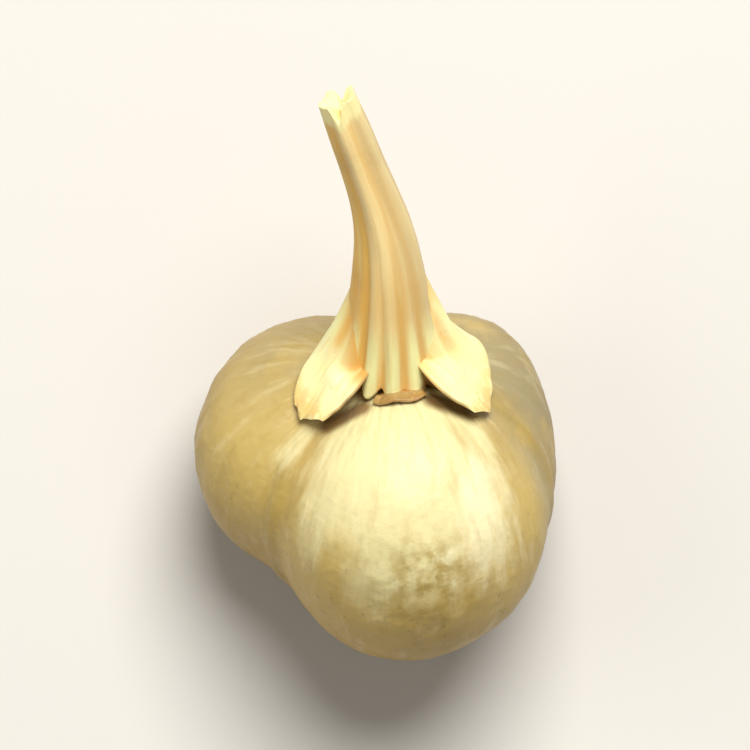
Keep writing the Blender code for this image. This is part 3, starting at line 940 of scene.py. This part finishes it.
# Painted shadow: dark brown along the flaps' lifted lower edges and over the whole front stub,
# which reads as the thin shadow line under the toes
colour = paint.layer(colour, RIM_SEPAL, paint.field("rim"), 0.85)
colour = paint.layer(colour, GOLD_SEPAL, paint.rise(lines, 0.52, 0.70), 0.35)
spots = paint.rise(paint.cloud(here, BLADE_SPOT_SIZE, 4, 0.6), 0.62, 0.74)
colour = paint.layer(colour, BROWN_SEPAL, spots, 0.35)
roughness = paint.plus(paint.times(lines, BLADE_ROUGHER), BLADE_ROUGHNESS)
height = paint.plus(lines, paint.times(paint.cloud(here, BLADE_PORE_SIZE, 3, 0.6), 0.5))

for blade in SEPALS:
    name = blade[0]
    points, across, share, azimuth, ribs, inside = blade_loops(blade)
    torn_blade = closed_body(name + "_blade", points, flat_ends=True)
    # Painted shadow: marks the flaps' lifted edges and the whole front stub for dark brown
    rim = smooth_step(np.abs(across), 0.93, 0.99) * smooth_step(share, 0.42, 0.52)
    rim = rim * (1 - smooth_step(share, 0.72, 0.84))
    if name == "sepal_front":
        rim = np.ones_like(share)
    _, amber_share = FRONT_EDGES.get(name, (0, 0.0))
    blade_grain = np.stack([azimuth * 1.3, share * 0.3, 0 * share], axis=-1)
    keep(
        torn_blade,
        outwards=share,
        front_edge=front_edge(across, share, name) * amber_share,
        inside=inside,
        rim=rim,
        crest=ribs,
        blade_grain=BLADE_GRAIN_SCALE * blade_grain,
    )
    paint.done(torn_blade, colour, roughness, height, BLADE_BUMP)
    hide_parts(name)
    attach(torn_blade, "root")


# The floor is one plain pale sheet, a little matt, that reaches past the picture's edges.
# The capsule lies on it.

FLOOR_HALF = 0.5
FLOOR_COLOUR = (210, 208, 204)
FLOOR_ROUGHNESS = 0.8

bpy.ops.mesh.primitive_plane_add(size=2 * FLOOR_HALF, location=(0, 0, 0))
floor = bpy.context.active_object
floor.name = "floor"
matt = bpy.data.materials.new("floor_finish")
matt.use_nodes = True
matt_shader = matt.node_tree.nodes["Principled BSDF"]
matt_shader.inputs["Base Color"].default_value = light_value(FLOOR_COLOUR)
matt_shader.inputs["Roughness"].default_value = FLOOR_ROUGHNESS
floor.data.materials.append(matt)


# Soft studio light: a wide round lamp above and behind, a weaker one from the left, and a dim pale
# room. The screen's own colours are kept, with no film look over them.

# Each lamp's name, place, size, power and tint
LAMPS = (
    ("key_lamp", (0.045, 0.17, 0.28), 0.20, 1.62, (1.0, 0.975, 0.93)),
    ("side_lamp", (-0.25, 0.02, 0.25), 0.20, 0.20, (1.0, 0.97, 0.91)),
)
ROOM_TINT = (1.0, 0.95, 0.87, 1)
ROOM_STRENGTH = 0.20

for name, place, size, power, tint in LAMPS:
    lamp = bpy.data.objects.new(name, bpy.data.lights.new(name, "AREA"))
    lamp.data.shape = "DISK"
    lamp.data.size = size
    lamp.data.energy = power
    lamp.data.color = tint
    lamp.location = place
    away = np.array(place) / np.linalg.norm(place)
    lamp.rotation_euler = (math.acos(away[2]), 0, math.atan2(away[0], -away[1]))
    bpy.context.scene.collection.objects.link(lamp)

room = bpy.data.worlds.new("room")
room.use_nodes = True
room_light = room.node_tree.nodes["Background"]
room_light.inputs["Color"].default_value = ROOM_TINT
room_light.inputs["Strength"].default_value = ROOM_STRENGTH
bpy.context.scene.world = room
bpy.context.scene.view_settings.view_transform = "Standard"


# The camera looks straight down from far off, so the picture is nearly flat, with the stalk
# pointing up in it.

CAMERA_HEIGHT = 0.40
VIEW_LEVEL = 0.005
VIEW_WIDTH = 0.0188
SENSOR = 36.0

eye = bpy.data.objects.new("camera", bpy.data.cameras.new("camera"))
eye.data.sensor_width = SENSOR
eye.data.lens = SENSOR * CAMERA_HEIGHT / VIEW_WIDTH
eye.data.clip_start = 0.01
eye.data.clip_end = 10
eye.location = (0, 0, CAMERA_HEIGHT + VIEW_LEVEL)
bpy.context.scene.collection.objects.link(eye)
bpy.context.scene.camera = eye
